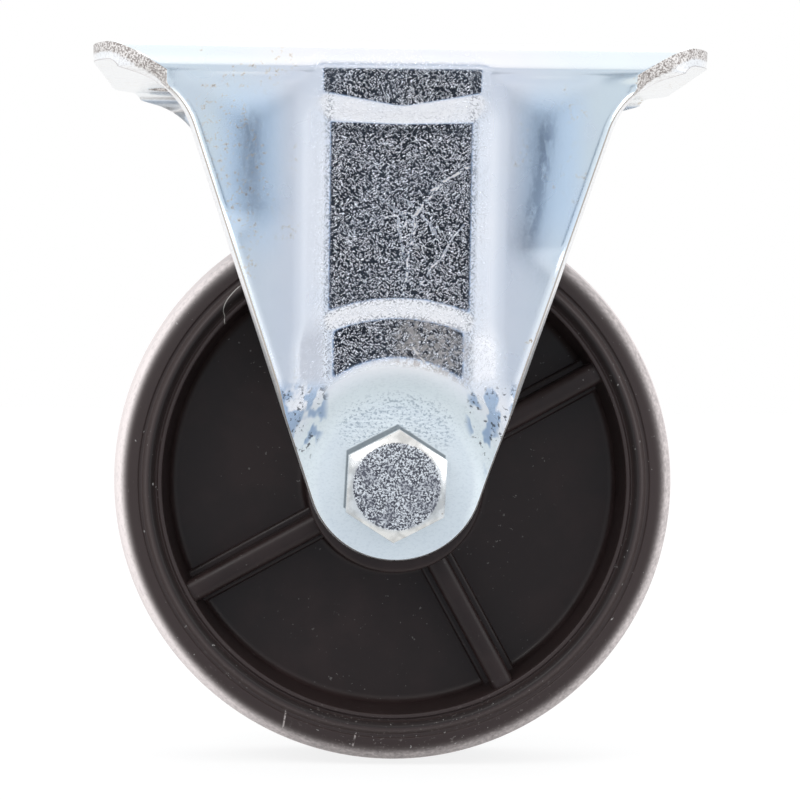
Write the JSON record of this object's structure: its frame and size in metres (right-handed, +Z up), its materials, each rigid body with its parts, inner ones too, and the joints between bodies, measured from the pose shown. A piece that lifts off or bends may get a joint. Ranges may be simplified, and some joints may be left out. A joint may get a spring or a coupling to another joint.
{
  "type": "fixed castor",
  "caption": "Fixed castor: a pressed zinc-plated bracket with a slotted top plate holds a black moulded wheel with spokes on a bolted axle.",
  "frame": {"origin": "centre of the plate's top face, which the castor is bolted up by", "axes": "+Z up out of the plate, X along the rolling direction and the plate's long side, Y along the axle; the bolt head is on the -Y side"},
  "size_m": [0.105, 0.085, 0.125],
  "materials": {
    "plated_sheet": "zinc plated, semi-gloss, fine orange-peel speckle",
    "wheel_plastic": "black-brown moulded plastic, satin",
    "tube_steel": "plain drawn tube",
    "plated_bolt": "zinc plated, grainy head",
    "plated_nut": "zinc plated",
    "ring_nylon": "natural nylon"
  },
  "bodies": {
    "bracket_body": {"bracket": "plated_sheet", "axle_tube": "tube_steel", "axle_bolt": "plated_bolt", "lock_nut": "plated_nut", "lock_nut_ring": "ring_nylon"},
    "wheel_body": {"wheel": "wheel_plastic"}
  },
  "joints": [
    {"name": "wheel_spin", "type": "hinge", "parent": "bracket_body", "child": "wheel_body", "pos_m": [0, 0, -0.075], "axis": [0, 1, 0], "continuous": true}
  ]
}
